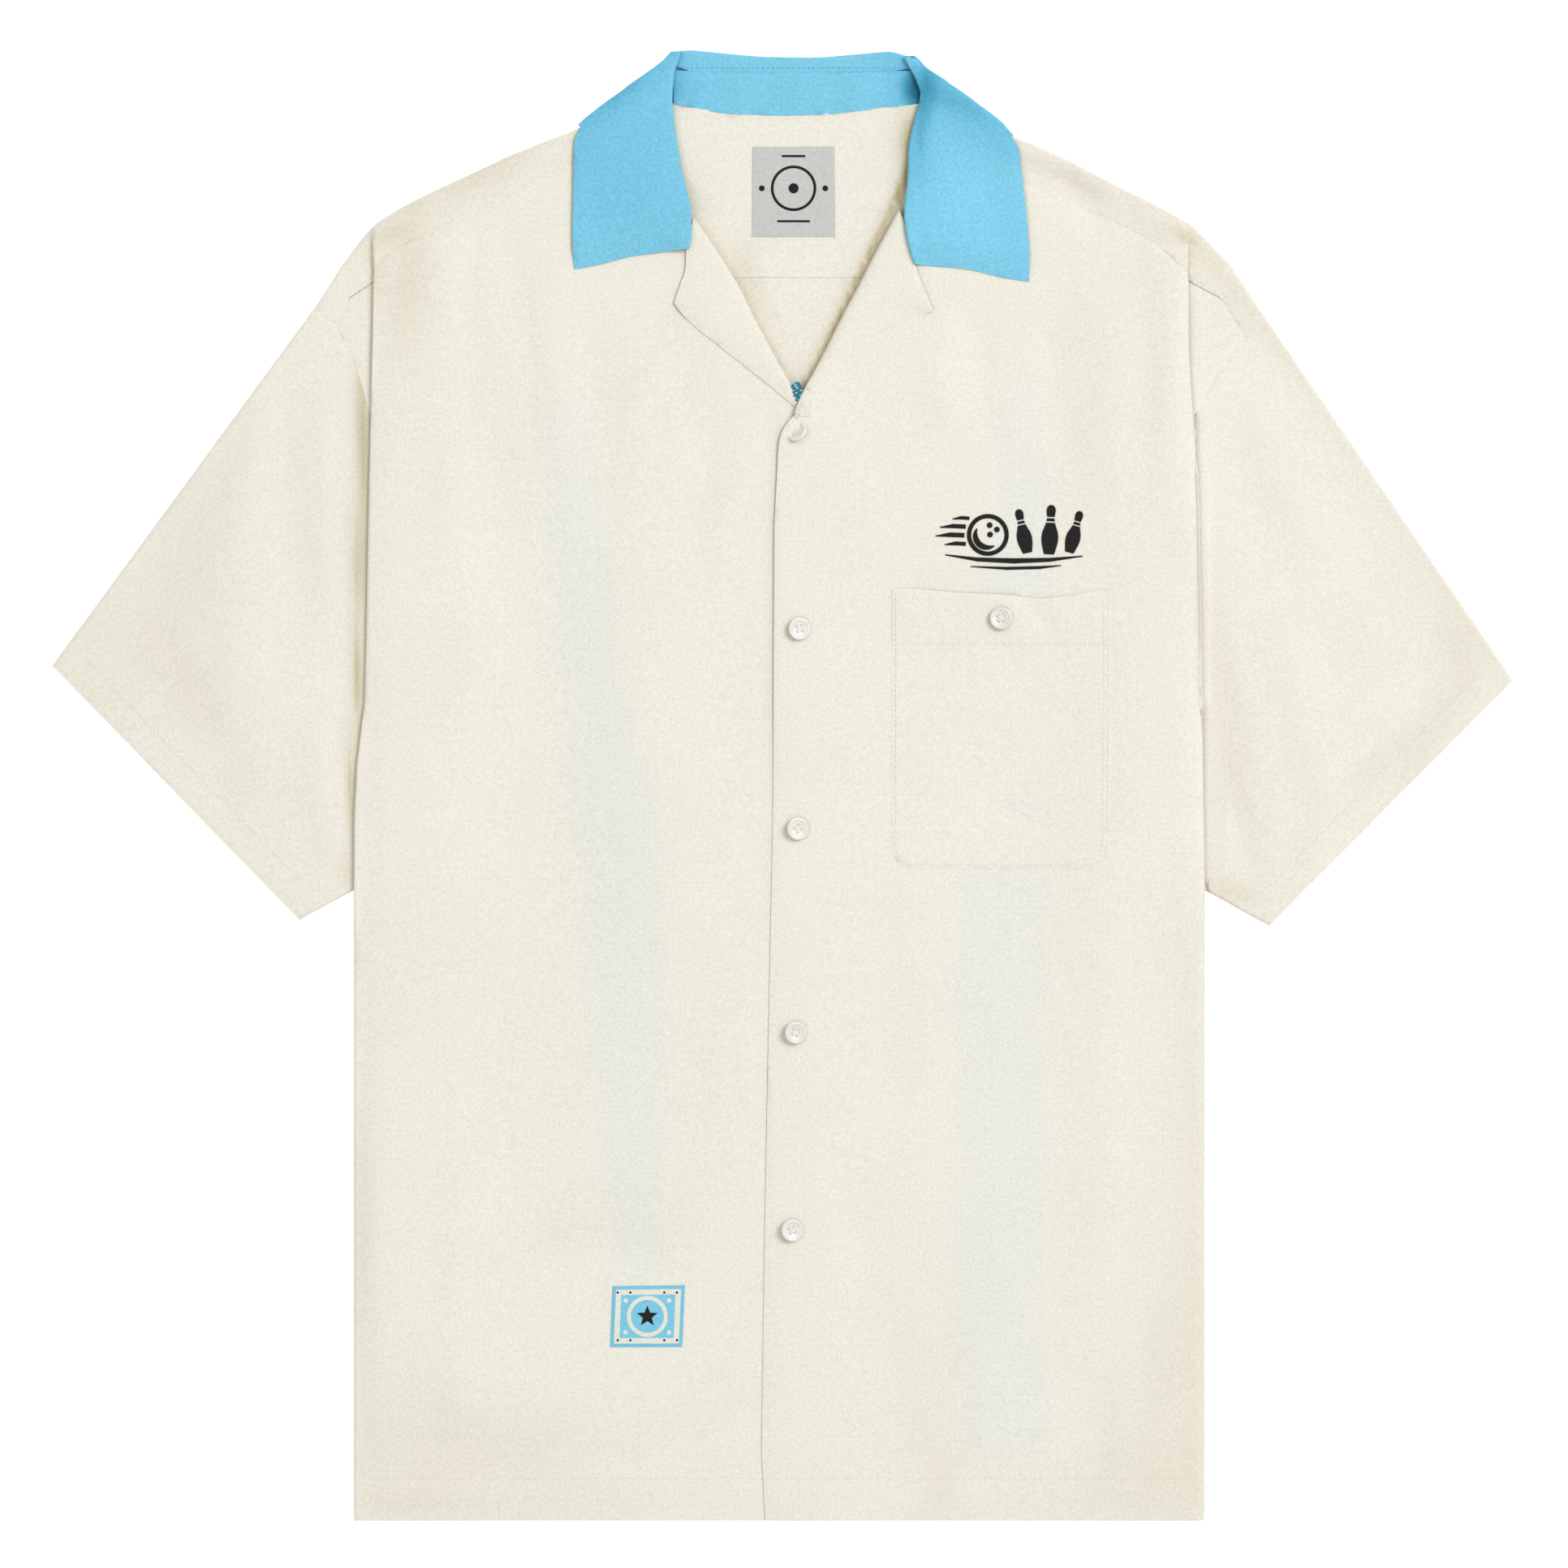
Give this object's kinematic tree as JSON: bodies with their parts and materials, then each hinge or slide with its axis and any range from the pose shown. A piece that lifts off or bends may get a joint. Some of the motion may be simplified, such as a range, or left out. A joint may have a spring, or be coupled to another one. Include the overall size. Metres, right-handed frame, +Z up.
{
  "type": "bowling shirt",
  "caption": "Short-sleeved bowling shirt laid flat and buttoned, with a contrast open collar, turned-out lapels, dropped shoulders, tucked sides and a patch pocket.",
  "frame": {"origin": "centre of the bounding box on the surface that the shirt lies on", "axes": "+X to the wearer's left, +Y from the hem to the collar, +Z up from the surface, out of the shirt's front"},
  "size_m": [0.8098, 0.8149, 0.0179],
  "materials": {
    "ivory_cloth": "smooth matt plain weave",
    "sky_cloth": "smooth matt plain weave",
    "label_cloth": "woven tape",
    "patch_cloth": "woven patch",
    "button_shell": "pearly, polished"
  },
  "bodies": {
    "root": {"back": "ivory_cloth", "yoke": "ivory_cloth", "front_right": "ivory_cloth", "front_left": "ivory_cloth", "sleeve_right": "ivory_cloth", "sleeve_left": "ivory_cloth", "facing_right": "ivory_cloth", "facing_left": "ivory_cloth", "collar_leaf": "sky_cloth", "collar_stand": "sky_cloth", "pocket": "ivory_cloth", "neck_label": "label_cloth", "hem_patch": "patch_cloth", "button_1": "button_shell", "button_2": "button_shell", "button_3": "button_shell", "button_4": "button_shell", "button_5": "button_shell", "button_pocket": "button_shell"}
  },
  "joints": []
}
